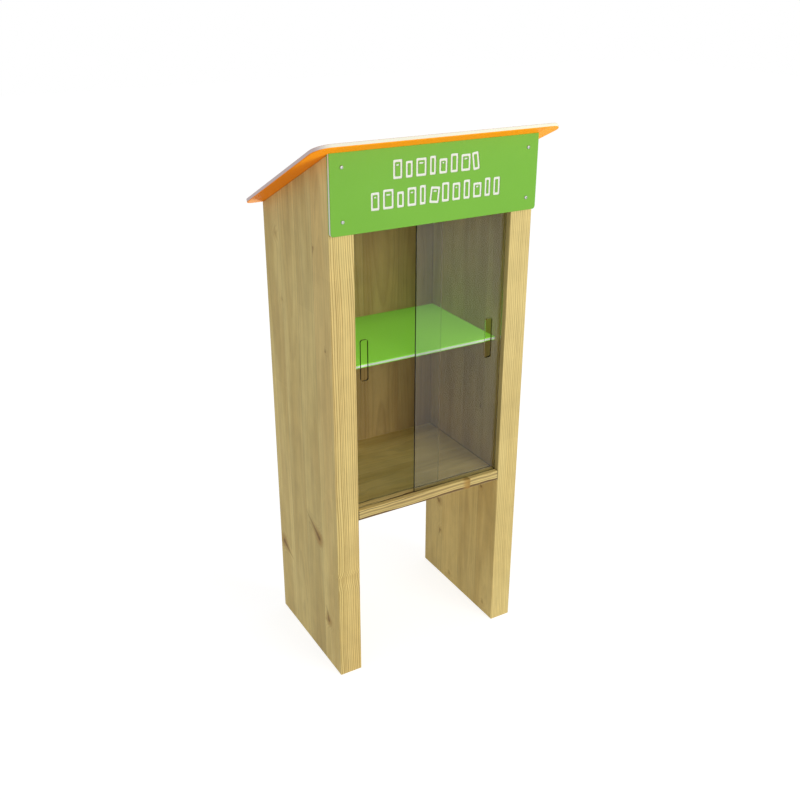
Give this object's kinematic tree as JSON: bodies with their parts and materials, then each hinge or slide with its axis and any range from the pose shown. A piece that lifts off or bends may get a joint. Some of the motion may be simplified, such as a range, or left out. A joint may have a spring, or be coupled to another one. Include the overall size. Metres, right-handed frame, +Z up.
{
  "type": "book exchange box",
  "caption": "Free-standing timber book exchange box: upright side panels carry a shelf behind sliding glass doors with finger slots, a sign board and a sloping roof sheet.",
  "frame": {"origin": "middle of the overall footprint, on the ground", "axes": "+X to the right seen from the front, +Y from the front to the back, +Z up"},
  "size_m": [0.7, 0.457, 1.5337],
  "materials": {
    "pine": "oiled, planed",
    "beech": "plain",
    "green_board": "satin skins over a white core",
    "orange_board": "satin skins over a white core",
    "glass": "polished, ground edges",
    "steel": "satin",
    "glide_plastic": "smooth"
  },
  "bodies": {
    "cabinet": {"side_panel_left": "pine", "side_panel_right": "pine", "floor_board": "pine", "floor_dowels": "beech", "glide_strip_front": "glide_plastic", "glide_strip_rear": "glide_plastic", "track_rail": "pine", "track_rail_dowels": "beech", "back_panel": "pine", "back_panel_screws": "steel", "shelf": "green_board", "shelf_pins": "steel", "sign_board": "green_board", "sign_board_screws": "steel", "roof_sheet": "orange_board", "roof_screws": "steel"},
    "left_door": {"door_left": "glass"},
    "right_door": {"door_right": "glass"}
  },
  "joints": [
    {"name": "left_door_slide", "type": "slide", "parent": "cabinet", "child": "left_door", "axis": [1, 0, 0], "range_m": [0, 0.185]},
    {"name": "right_door_slide", "type": "slide", "parent": "cabinet", "child": "right_door", "axis": [-1, 0, 0], "range_m": [0, 0.185]}
  ]
}
